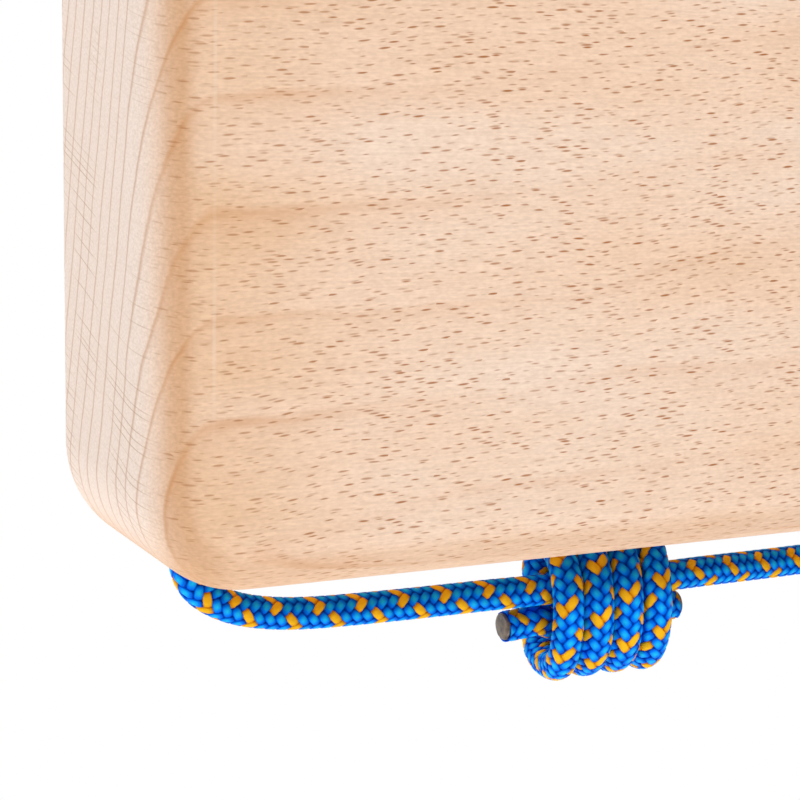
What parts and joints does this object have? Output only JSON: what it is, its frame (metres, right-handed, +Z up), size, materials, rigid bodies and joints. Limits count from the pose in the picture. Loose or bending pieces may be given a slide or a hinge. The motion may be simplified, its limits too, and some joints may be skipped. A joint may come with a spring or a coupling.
{
  "type": "lifting edge block",
  "caption": "Wooden training edge with a finger ledge across its upper front, hung in a loop of braided cord that runs through it and is knotted underneath.",
  "frame": {"origin": "top of the hanging loop, where a hook or carabiner holds it", "axes": "+X along the block, front face with the finger ledge towards -Y, +Z up"},
  "size_m": [0.175, 0.048, 0.2839],
  "materials": {
    "beech": "sanded and bare",
    "cord": "braided sheath with yellow flecks",
    "sealed_cord": "melted"
  },
  "bodies": {
    "loop": {"hanging_loop": "cord"},
    "block": {"block": "beech", "cord_in_left_hole": "cord", "cord_in_right_hole": "cord", "lower_run_left": "cord", "lower_run_right": "cord", "knot_left_barrel": "cord", "knot_right_barrel": "cord", "sealed_end_left": "sealed_cord", "sealed_end_right": "sealed_cord"}
  },
  "joints": [
    {"name": "block_swing", "type": "hinge", "parent": "loop", "child": "block", "pos_m": [0, 0, -0.127], "axis": [1, 0, 0], "range_deg": [-60, 60]}
  ]
}
